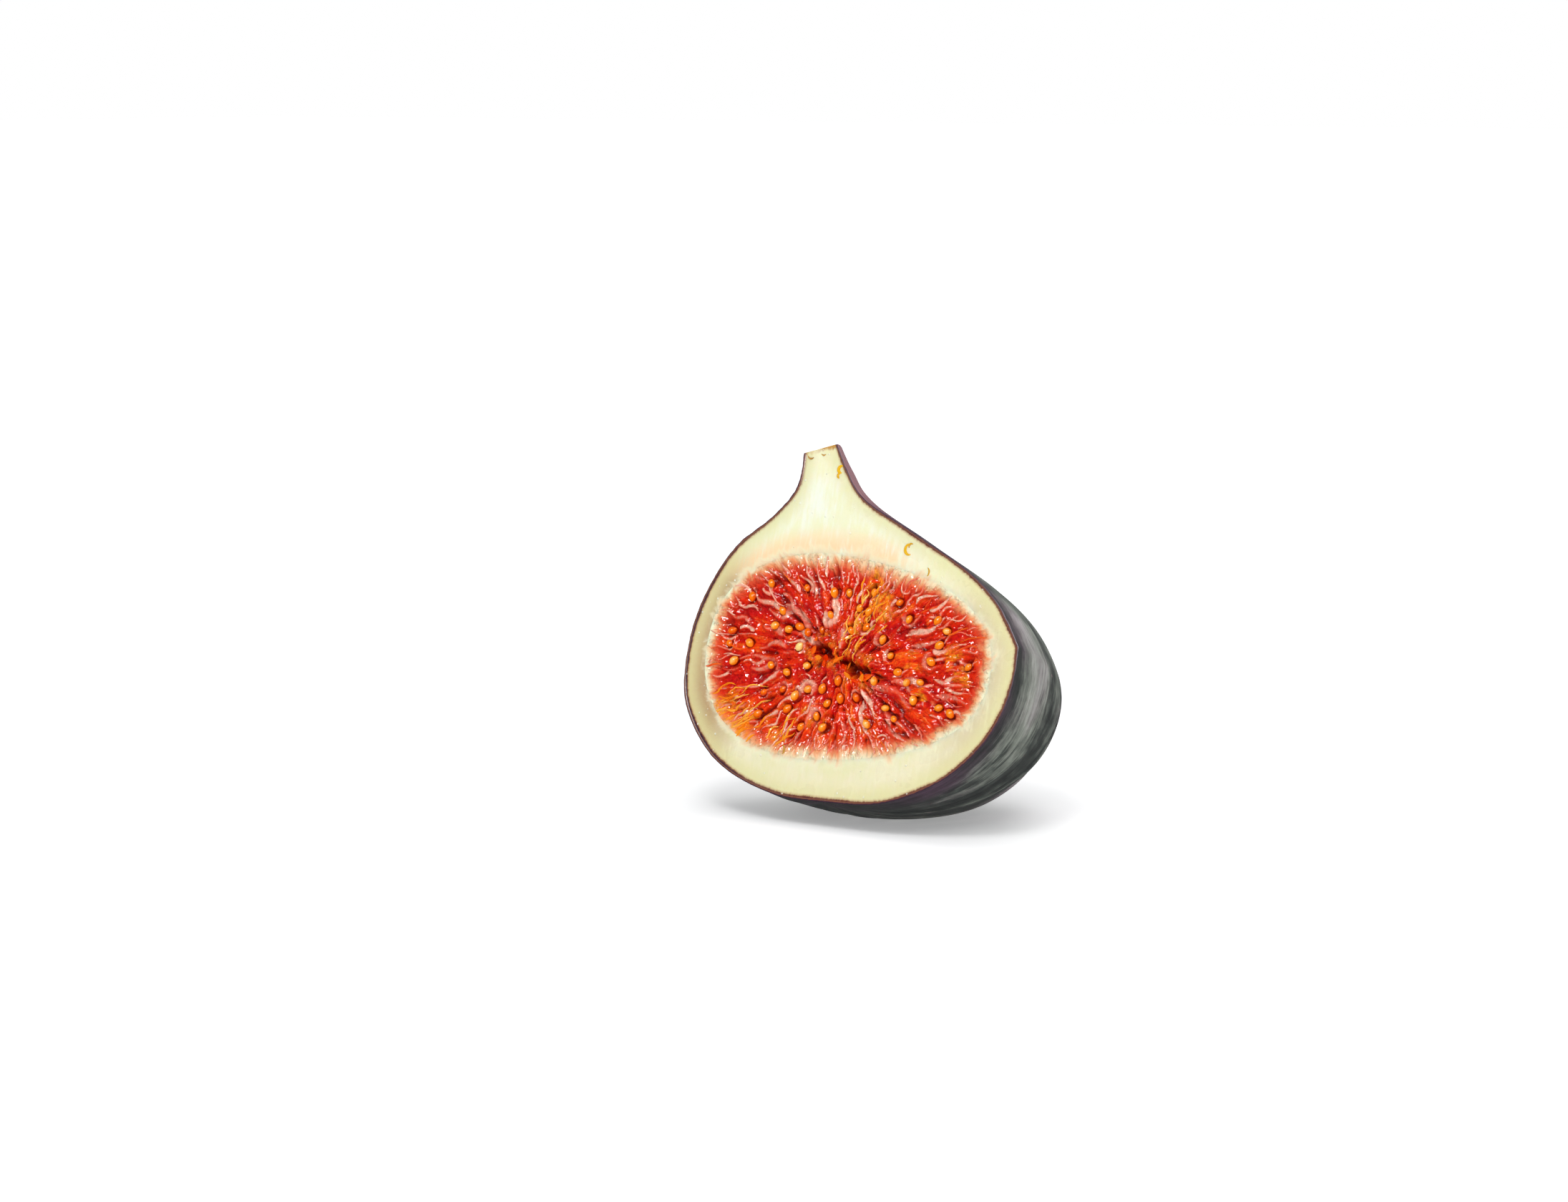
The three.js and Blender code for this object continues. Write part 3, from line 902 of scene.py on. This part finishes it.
        # Amber patches with ragged edges, and the gel's own tone, which is lighter low down
        warp = Vector((ripple(u, v, 1.8, 1.0), ripple(u, v, 1.8, 6.0))) * 1.3
        spot = point + warp
        amber = max(smoothstep(size, size * 0.4, (spot - Vector(place)).length) for place, size in self.AMBER)
        ring = smoothstep(3.4, 1.6, core) * smoothstep(-0.15, 0.25, ripple(u, v, 1.4, 12.0))
        amber = max(amber, 0.8 * ring)
        low = smoothstep(18.0, 8.0, v)
        tone = 0.47 + 0.22 * low + 0.34 * ripple(u, v, 4.5, 21.0) + 0.3 * strand + 0.15 * fine
        wall = wall * pale * (1 - 0.5 * amber) * smoothstep(-0.2, 1.2, inside)
        layers.update({"inside": inside, "wall": wall, "pit": pit * depth_in, "amber": amber, "tone": tone})
        return min(lerp(fringe, height, depth_in), FACE_TOP), layers


def core_distance(point):
    """Distance from the core's jagged slit, where the pulp falls away."""
    start, end = CORE
    line = end - start
    share = min(max((point - start).dot(line) / line.length_squared, 0.0), 1.0)
    jag = quarter_turn(line).normalized() * (0.9 * ripple(share * 9, 0, 1.0, 2.0))
    bridge = 0.9 * math.exp(-((share - 0.4) / 0.16) ** 2)
    return (point - start - line * share - jag).length + bridge


@functools.cache
def florets():
    """The florets, which the pulp and all that lies on it share."""
    return Florets(bpy.context.scene.fig_pulp)


def face_height(point):
    """The height of the pulp's relief over the cut."""
    return florets().look_at(point)[0]


def pulp_patches(bm):
    """The pulp's face, with its florets in relief, and its back in the hollow of the flesh."""
    columns, rows, rings = 356, 206, 5

    def spot(a, b):
        """A point of the oval hollow for a point of the square: nested ovals for nested squares."""
        x, y = 2 * a - 1, 2 * b - 1
        if x == 0 and y == 0:
            return PULP_CENTRE.copy()
        if abs(x) >= abs(y):
            reach, angle = abs(x), math.pi / 4 * y / x + (math.pi if x < 0 else 0)
        else:
            reach, angle = abs(y), math.pi / 2 - math.pi / 4 * x / y + (math.pi if y < 0 else 0)
        return PULP_CENTRE + facing(angle) * (hollow_reach(angle) * reach)

    def face(a, b):
        point = spot(a, b)
        height, layers = florets().look_at(point)
        return set_down(*point, -height), layers

    patch(bm, columns, rows, face)
    inside_layer = bm.verts.layers.float["inside"]
    back_depth = PULP_HALF[2] - 0.5
    face_up = Vector((0, math.sin(LEAN), math.cos(LEAN)))
    back = Vector((0, math.cos(LEAN), -math.sin(LEAN))) - face_up * DROOP
    edge = [e for e in bm.edges if e.is_boundary]
    for ring in range(1, rings + 1):
        swing = math.pi / 2 * ring / rings
        before = swing - math.pi / 2 / rings
        made = bmesh.ops.extrude_edge_only(bm, edges=edge)["geom"]
        edge = [e for e in made if isinstance(e, bmesh.types.BMEdge) and e.is_boundary]
        corners = {vertex for e in edge for vertex in e.verts}
        for vertex in corners:
            vertex[inside_layer] = 3.0
        depth = back_depth * (math.sin(swing) - math.sin(before))
        share = max(math.cos(swing), 0.02) / math.cos(before)
        centre = set_down(*PULP_CENTRE, 0) + back * (back_depth * math.sin(before) * MM)
        space = Matrix.Translation(-centre)
        bmesh.ops.scale(bm, vec=(share,) * 3, space=space, verts=list(corners))
        bmesh.ops.translate(bm, vec=back * depth * MM, verts=list(corners))
    bmesh.ops.pointmerge(bm, verts=list(corners), merge_co=centre + back * depth * MM)


def face_frame(point, height, turn, tilt=0.0, roll=0.0):
    """Places a shape that is made flat on the face: its own X turned on the face, its Z out of it."""
    place = Matrix.Translation(set_down(*point, -height)) @ Matrix.Rotation(math.pi / 2 - LEAN, 4, "X")
    turned = place @ Euler((0, 0, turn)).to_matrix().to_4x4()
    return turned @ Euler((roll, tilt, 0)).to_matrix().to_4x4()


def seed_bodies(bm, look):
    """Egg-shaped seeds, half sunk in the gel, with painted shading in their tone."""
    draw = random.Random(look.seed + 1)
    tone_layer = bm.verts.layers.float["tone"]
    for spot in florets().seeds:
        half = Vector((look.seed_length, look.seed_width, look.seed_width)) / 2 * draw.uniform(0.85, 1.12)
        made = bmesh.ops.create_uvsphere(bm, u_segments=18, v_segments=12, radius=1.0)["verts"]
        bmesh.ops.rotate(bm, matrix=Matrix.Rotation(math.pi / 2, 3, "Y"), verts=made)
        shade = 1.0 if draw.random() < 0.06 else draw.choice((0.15, 0.3, 0.42, 0.5, 0.58, 0.66))
        for vertex in made:
            x, y, z = vertex.co
            slim = 1 - 0.25 * max(x, 0) ** 2
            # Painted shading: the tone is paler on each seed's top and darker at its base.
            vertex[tone_layer] = shade + 0.45 * z - 0.26
            vertex.co = Vector((x * half.x, y * half.y * slim, z * half.z * 0.9 * slim)) * MM
        turn = inwards_angle(spot) + draw.uniform(-0.9, 0.9)
        height = min(face_height(spot) + half.z * draw.uniform(0.5, 0.8), FACE_TOP)
        matrix = face_frame(spot, height, turn, draw.uniform(-0.3, 0.3))
        bmesh.ops.transform(bm, matrix=matrix, verts=made)


def strand_mesh(name, strands):
    """Tapered tubes along lists of (point, radius), as one bmesh with a tone on each."""
    curve = bpy.data.curves.new(name, "CURVE")
    curve.dimensions = "3D"
    curve.bevel_depth = 1.0
    curve.bevel_resolution = 0
    curve.use_fill_caps = True
    for points, _ in strands:
        spline = curve.splines.new("POLY")
        spline.points.add(len(points) - 1)
        for knot, (place, radius) in zip(spline.points, points):
            knot.co = (*place, 1.0)
            knot.radius = radius * MM
    holder = bpy.data.objects.new(name, curve)
    mesh = bpy.data.meshes.new_from_object(holder)
    bpy.data.objects.remove(holder)
    bpy.data.curves.remove(curve)
    bm = bmesh.new()
    bm.from_mesh(mesh)
    bpy.data.meshes.remove(mesh)
    layer = bm.verts.layers.float.new("tone")
    bmesh.ops.remove_doubles(bm, verts=bm.verts, dist=1e-8)
    knots = [(place, tone) for points, tone in strands for place, _ in points]
    nearest = search_tree([place for place, _ in knots])
    for vertex in bm.verts:
        _, i, _ = nearest.find(vertex.co)
        vertex[layer] = knots[i][1]
    bmesh.ops.recalc_face_normals(bm, faces=bm.faces)
    return bm


def amber_spot(draw, patches, spread=1.0):
    """A drawn point on one of the amber patches."""
    place, size = draw.choice(patches)
    return Vector(place) + Vector((draw.uniform(-1, 1), draw.uniform(-1, 1))) * size * spread


def thread_lines(look):
    """Fine threads along the flow, pale ones by the flesh and golden ones where the pulp is amber."""
    draw = random.Random(look.seed + 2)
    lines = []
    for i in range(look.threads):
        golden = i % 3 > 0
        if golden:
            spot = amber_spot(draw, Florets.GOLDEN)
        else:
            spot = on_oval(draw.uniform(-math.pi, math.pi), draw.uniform(0.86, 1.0))
        length = draw.uniform(1.6, 5.0)
        width = draw.uniform(0.09, 0.2)
        curl, points = draw.uniform(-0.7, 0.7), []
        for step in range(STRAND_STEPS + 1):
            share = step / STRAND_STEPS
            if inside_pulp(spot) < -0.4:
                break
            heading = inwards(spot)
            heading.rotate(Matrix.Rotation(curl * math.sin(share * 5 + i), 2))
            swell = math.sin(math.pi * (0.08 + 0.88 * share)) ** 0.7
            height = min(face_height(spot) + 0.07 * math.sin(math.pi * share), 0.2)
            points.append((set_down(*spot, -height), max(width * swell, 0.012)))
            spot = spot + heading * (length / STRAND_STEPS)
        if len(points) > 3:
            lines.append((points, draw.uniform(0.55, 1.0) if golden else draw.uniform(0.0, 0.4)))
    return lines


def mark_lines():
    """Small crescents and ticks of dried sap on the flesh."""
    lines = []
    for centre, radius, start, swing, width, tone in MARKS:
        points = []
        for step in range(STRAND_STEPS + 1):
            share = step / STRAND_STEPS
            spot = Vector(centre) + facing(math.radians(start + swing * share)) * radius
            points.append((set_down(*spot, -0.02), width * math.sin(math.pi * (0.1 + 0.8 * share))))
        lines.append((points, tone))
    return lines


def scale_bodies(bm, look):
    """Small pointed scales, the dry ends of florets, that curl up round the core."""
    draw = random.Random(look.seed + 3)
    tone_layer = bm.verts.layers.float["tone"]
    line = CORE[1] - CORE[0]
    for i in range(look.scales):
        if i % 4 < 3:
            side = quarter_turn(line).normalized() * draw.choice((-1, 1)) * draw.uniform(0.3, 2.2)
            spot = CORE[0] + line * draw.uniform(-0.12, 1.15) + side
        else:
            spot = amber_spot(draw, Florets.AMBER, 0.6)
        length, width = draw.uniform(0.9, 2.0), draw.uniform(0.4, 0.75)
        curl = draw.uniform(0.2, 0.8)
        made = bmesh.ops.create_grid(bm, x_segments=7, y_segments=4, size=0.5)["verts"]
        faces = {face for vertex in made for face in vertex.link_faces}
        for vertex in made:
            x, y = vertex.co.x + 0.5, vertex.co.y * 2
            leaf = math.sin(math.pi * (x * 0.9 + 0.06)) ** 0.75
            lift = curl * x * x + 0.35 * width * (y * leaf) ** 2
            vertex.co = Vector((x * length, y * width / 2 * leaf, lift)) * MM
            vertex[tone_layer] = draw.uniform(0.1, 0.25) + (i % 5) * 0.16
        solid = bmesh.ops.solidify(bm, geom=list(faces), thickness=SCALE_THICKNESS * MM)["geom"]
        added = {v for part in solid if isinstance(part, bmesh.types.BMFace) for v in part.verts}
        corners = added | set(made)
        turn = inwards_angle(spot) + draw.uniform(-0.9, 0.9)
        height = max(face_height(spot), -1.5) - 0.05
        matrix = face_frame(spot, height, turn, draw.uniform(-0.5, 0.1), draw.uniform(-0.6, 0.6))
        bmesh.ops.transform(bm, matrix=matrix, verts=list(corners))


def colour_property(name, description, default):
    """A colour that a user can change."""
    return FloatVectorProperty(name=name, description=description, subtype="COLOR", default=default)


class FigSkinSettings(bpy.types.PropertyGroup):
    """Sizes and colours of the skin"""

    thickness: FloatProperty(name="Thickness", description="In millimetres", default=0.32, min=0.3, max=1.2)
    # Dark is bare skin, and also the painted shade low on the fruit.
    dark: colour_property("Dark", "Bare skin low on the fruit", (0.010, 0.012, 0.013))
    slate: colour_property("Slate", "Skin with a thin bloom", (0.045, 0.053, 0.046))
    bloom: colour_property("Bloom", "Waxy bloom", (0.195, 0.215, 0.180))
    frost: colour_property("Frost", "Thickest bloom", (0.37, 0.40, 0.34))
    ink: colour_property("Ink", "Bare skin in the purple patches", (0.022, 0.010, 0.020))
    purple: colour_property("Purple", "Purple patches", (0.105, 0.042, 0.090))
    mauve: colour_property("Mauve", "Purple under a bloom", (0.26, 0.170, 0.225))
    lilac: colour_property("Lilac", "Thickest bloom on purple", (0.46, 0.37, 0.43))
    lenticel: colour_property("Lenticels", "Small pink dots", (0.45, 0.25, 0.30))
    stem: colour_property("Stem", "Skin of the stem", (0.42, 0.21, 0.22))
    edge: colour_property("Edge", "The skin's cut edge", (0.045, 0.014, 0.035))
    edge_inner: colour_property("Inner edge", "Where the edge meets the flesh", (0.22, 0.075, 0.035))


class FigFleshSettings(bpy.types.PropertyGroup):
    """Colours of the flesh, which the pulp's fringe shares"""

    cream: colour_property("Cream", "Flesh", (0.86, 0.83, 0.585))
    neck: colour_property("Neck", "Flesh near the stem", (0.86, 0.88, 0.74))
    green: colour_property("Green", "Greenish flesh", (0.80, 0.80, 0.45))
    peach: colour_property("Peach", "Flesh by the pulp", (0.86, 0.62, 0.38))
    # Shade is painted shade, laid on the flesh at its sides.
    shade: colour_property("Shade", "Darker flesh at the sides", (0.48, 0.33, 0.17))
    blush: colour_property("Blush", "Flesh over the pulp", (0.93, 0.62, 0.34))
    salmon: colour_property("Salmon", "Start of the pulp", (0.82, 0.32, 0.14))
    rose: colour_property("Rose", "Outer pulp", (0.74, 0.09, 0.035))
    red: colour_property("Red", "Pulp", (0.70, 0.014, 0.001))
    rind: colour_property("Rind", "Flesh by the skin", (0.74, 0.70, 0.36))
    tan: colour_property("Tan", "Flesh at the skin", (0.56, 0.36, 0.16))
    brown: colour_property("Brown", "Line under the skin", (0.19, 0.06, 0.04))
    line: colour_property("Line", "Darkest line under the skin", (0.05, 0.016, 0.03))
    bruise: colour_property("Bruise", "Marks on the stem's end", (0.50, 0.27, 0.06))
    sap: colour_property("Sap", "Dried sap", (0.86, 0.50, 0.02))
    speck: colour_property("Specks", "Moist specks", (0.95, 0.94, 0.80))


class FigPulpSettings(bpy.types.PropertyGroup):
    """Numbers, sizes and colours of the pulp"""

    seed: IntProperty(name="Seed", description="Start of the random draws", default=7)
    seeds: IntProperty(name="Seeds", description="Fewest seeds on the face", default=58)
    threads: IntProperty(name="Threads", description="Fine threads", default=90)
    scales: IntProperty(name="Scales", description="Scales round the core", default=26)
    seed_length: FloatProperty(name="Seed length", description="In millimetres", default=1.4)
    seed_width: FloatProperty(name="Seed width", description="In millimetres", default=1.06)
    # Deep is the darkest gel, and also the painted shade in the pulp's pockets.
    deep: colour_property("Deep", "Dark pockets", (0.24, 0.006, 0.002))
    crimson: colour_property("Crimson", "Bluish gel", (0.56, 0.003, 0.004))
    red: colour_property("Red", "Gel", (0.70, 0.014, 0.001))
    scarlet: colour_property("Scarlet", "Bright gel", (0.86, 0.055, 0.002))
    orange: colour_property("Orange", "Orange gel", (0.92, 0.20, 0.01))
    amber: colour_property("Amber", "Amber threads", (0.94, 0.31, 0.012))
    straw: colour_property("Straw", "Pale amber threads", (0.95, 0.48, 0.08))
    veil: colour_property("Veil", "Edges of the walls", (0.74, 0.05, 0.014))
    wall: colour_property("Wall", "Pale walls between florets", (0.88, 0.50, 0.36))
    # Juice is seeds under juice, and also the painted shade at every seed's base.
    juice: colour_property("Juice", "Seed under juice", (0.62, 0.03, 0.002))
    amber_seed: colour_property("Amber seed", "Orange seed", (0.84, 0.13, 0.002))
    gold: colour_property("Gold", "Golden seed", (0.92, 0.27, 0.010))
    # Pale is cut seeds, and also the painted light on the other seeds' tops.
    pale: colour_property("Pale", "Cut seed", (0.92, 0.62, 0.20))


class FigStageSettings(bpy.types.PropertyGroup):
    """The floor, the lights and the camera"""

    floor: colour_property("Floor", "Floor colour", (0.93, 0.93, 0.93))
    azimuth: FloatProperty(name="Azimuth", description="Camera's turn about the fig", subtype="ANGLE",
                           default=math.radians(38))
    elevation: FloatProperty(name="Elevation", description="Camera's height", subtype="ANGLE",
                             default=math.radians(7))
    distance: FloatProperty(name="Distance", description="Camera's distance", unit="LENGTH", default=0.59087)


class FIG_OT_skin(bpy.types.Operator):
    """Builds the ribbed skin"""

    bl_idname = "fig.skin"
    bl_label = "Skin"

    def execute(self, context):
        look = context.scene.fig_skin
        bm = new_mesh("turn", "rise", "depth")
        skin_patches(bm, look.thickness)
        close_up(bm)
        add_piece("fig_skin", bm, skin_finish(look), "skin")
        return {"FINISHED"}


class FIG_OT_flesh(bpy.types.Operator):
    """Builds the cream flesh and the cut stem"""

    bl_idname = "fig.flesh"
    bl_label = "Flesh"

    def execute(self, context):
        bm = new_mesh("inside", "to_skin", "to_knife", "flow_x", "flow_y", "flow_z")
        flesh_patches(bm, context.scene.fig_skin.thickness - SKIN_OVERLAP)
        close_up(bm)
        add_piece("fig_flesh", bm, flesh_finish(context.scene.fig_flesh), "flesh")
        return {"FINISHED"}


class FIG_OT_pulp(bpy.types.Operator):
    """Builds the pulp with its florets in relief"""

    bl_idname = "fig.pulp"
    bl_label = "Pulp"

    def execute(self, context):
        bm = new_mesh("inside", "wall", "pit", "amber", "tone", "flow_x", "flow_y", "flow_z")
        pulp_patches(bm)
        bmesh.ops.recalc_face_normals(bm, faces=bm.faces)
        add_piece("fig_pulp", bm, pulp_finish(context.scene.fig_pulp, context.scene.fig_flesh), "pulp")
        return {"FINISHED"}


class FIG_OT_seeds(bpy.types.Operator):
    """Sets the seeds in the pulp"""

    bl_idname = "fig.seeds"
    bl_label = "Seeds"

    def execute(self, context):
        look = context.scene.fig_pulp
        bm = new_mesh("tone")
        seed_bodies(bm, look)
        add_piece("fig_seeds", bm, seed_finish(look), "pulp")
        return {"FINISHED"}


class FIG_OT_threads(bpy.types.Operator):
    """Lays threads from the flesh in among the florets"""

    bl_idname = "fig.threads"
    bl_label = "Threads"

    def execute(self, context):
        look = context.scene.fig_pulp
        bm = strand_mesh("fig_threads", thread_lines(look))
        material = thread_finish("fig_threads", [look.wall, look.veil, look.orange, look.amber, look.straw])
        add_piece("fig_threads", bm, material, "pulp")
        return {"FINISHED"}


class FIG_OT_marks(bpy.types.Operator):
    """Dots small marks of sap on the flesh"""

    bl_idname = "fig.marks"
    bl_label = "Marks"

    def execute(self, context):
        look = context.scene.fig_flesh
        bm = strand_mesh("fig_marks", mark_lines())
        add_piece("fig_marks", bm, thread_finish("fig_marks", [look.brown, look.bruise, look.sap]), "flesh")
        return {"FINISHED"}


class FIG_OT_scales(bpy.types.Operator):
    """Curls pointed scales up round the core"""

    bl_idname = "fig.scales"
    bl_label = "Scales"

    def execute(self, context):
        look = context.scene.fig_pulp
        bm = new_mesh("tone")
        scale_bodies(bm, look)
        bmesh.ops.recalc_face_normals(bm, faces=bm.faces)
        material = thread_finish("fig_scales", [look.red, look.scarlet, look.orange, look.amber])
        add_piece("fig_scales", bm, material, "pulp")
        return {"FINISHED"}


def lay_floor(look):
    """A wide floor, a hair's breadth under the fruit."""
    bm = bmesh.new()
    bmesh.ops.create_grid(bm, x_segments=1, y_segments=1, size=FLOOR_HALF)
    bmesh.ops.translate(bm, vec=(0, 0, -FLOOR_GAP), verts=bm.verts)
    floor = mesh_object("floor", bm, floor_finish(look))
    floor.visible_glossy = False


def aim(holder, target, back, distance):
    """Moves an object back from a target, and turns it to look there."""
    holder.location = target + back * distance
    holder.rotation_euler = back.to_track_quat("Z", "Y").to_euler()


def place_camera(look):
    """The camera, and the ways back to it and to its right."""
    azimuth, elevation = look.azimuth, look.elevation
    level = math.cos(elevation)
    back = Vector((math.sin(azimuth) * level, -math.cos(azimuth) * level, math.sin(elevation)))
    right = Vector((math.cos(azimuth), math.sin(azimuth), 0))
    up = back.cross(right)
    target = CAMERA_FOOT * MM + right * CAMERA_SHIFT[0] * MM + up * CAMERA_SHIFT[1] * MM
    camera = new_object("camera", bpy.data.cameras.new("camera"))
    camera.data.lens = 100
    camera.data.sensor_width = 36
    camera.data.clip_start, camera.data.clip_end = 0.01, 50
    aim(camera, target, back, look.distance)
    bpy.context.scene.camera = camera
    return back, right


def soft_light(name, back, distance, size, power, shines=True, lights=True):
    """A round soft light on the fruit. shines lets it show in wet surfaces, lights lets it light them."""
    lamp = bpy.data.lights.new(name, "AREA")
    lamp.shape = "DISK"
    lamp.size = size
    lamp.energy = power
    holder = new_object(name, lamp)
    aim(holder, LIGHT_TARGET, back.normalized(), distance)
    holder.visible_glossy = shines
    holder.visible_diffuse = lights


def studio_world():
    """A white room at full strength for the camera, which lights the fruit softly and barely shines."""
    room = Finish(bpy.data.worlds.new("studio"), last="World Output")
    room.tree.nodes.remove(room.tree.nodes["Background"])
    seen = room.node("ShaderNodeBackground", {"Color": (1, 1, 1), "Strength": 1.0})
    shine = room.node("ShaderNodeLightPath", output="Is Glossy Ray")
    lit = room.node("ShaderNodeBackground", {"Color": (0.97, 0.98, 1), "Strength": 0.5 - shine * 0.45})
    camera = room.node("ShaderNodeLightPath", output="Is Camera Ray")
    return room.surface(Surface=room.node("ShaderNodeMixShader", [camera, lit, seen]))


class FIG_OT_stage(bpy.types.Operator):
    """Lays the pale floor, and sets the soft lights and the camera"""

    bl_idname = "fig.stage"
    bl_label = "Stage"

    def execute(self, context):
        lay_floor(context.scene.fig_stage)
        back, right = place_camera(context.scene.fig_stage)
        above = Vector((0, 0, 1))
        key, top = back - right * 0.3 + above * 1.1, above - back * 0.3 + right * 0.2
        soft_light("key_light", key, distance=0.55, size=0.14, power=0.6)
        soft_light("front_light", back + above, distance=0.7, size=0.5, power=1.7, shines=False)
        soft_light("top_light", top, distance=0.7, size=0.6, power=1.2, shines=False)
        left_glint, right_glint = back - right * 0.8 + above * 0.7, back + right * 0.5 + above * 1.2
        soft_light("left_sparkle", left_glint, distance=0.6, size=0.24, power=3.4, lights=False)
        soft_light("right_sparkle", right_glint, distance=0.6, size=0.18, power=1.4, lights=False)
        context.scene.world = studio_world()
        context.scene.view_settings.view_transform = "Standard"
        return {"FINISHED"}


class FIG_PT_sidebar(bpy.types.Panel):
    """Lists the fig's pieces in the sidebar"""

    bl_label = "Halved Fresh Fig"
    bl_space_type = "VIEW_3D"
    bl_region_type = "UI"
    bl_category = "Fig"

    def draw(self, context):
        for operator in OPERATORS:
            self.layout.operator(operator.bl_idname)


SETTINGS = {
    "fig_skin": FigSkinSettings, "fig_flesh": FigFleshSettings, "fig_pulp": FigPulpSettings,
    "fig_stage": FigStageSettings,
}
OPERATORS = (
    FIG_OT_skin, FIG_OT_flesh, FIG_OT_pulp, FIG_OT_seeds, FIG_OT_threads, FIG_OT_marks, FIG_OT_scales,
    FIG_OT_stage,
)


def register():
    for made in (*SETTINGS.values(), *OPERATORS, FIG_PT_sidebar):
        bpy.utils.register_class(made)
    for name, made in SETTINGS.items():
        setattr(bpy.types.Scene, name, PointerProperty(type=made))


def unregister():
    for name in SETTINGS:
        delattr(bpy.types.Scene, name)
    for made in (FIG_PT_sidebar, *reversed(OPERATORS), *reversed(SETTINGS.values())):
        bpy.utils.unregister_class(made)


def main():
    register()
    bpy.ops.fig.skin()
    bpy.ops.fig.flesh()
    bpy.ops.fig.pulp()
    bpy.ops.fig.seeds()
    bpy.ops.fig.threads()
    bpy.ops.fig.marks()
    bpy.ops.fig.scales()
    bpy.ops.fig.stage()


if __name__ == "__main__":
    main()
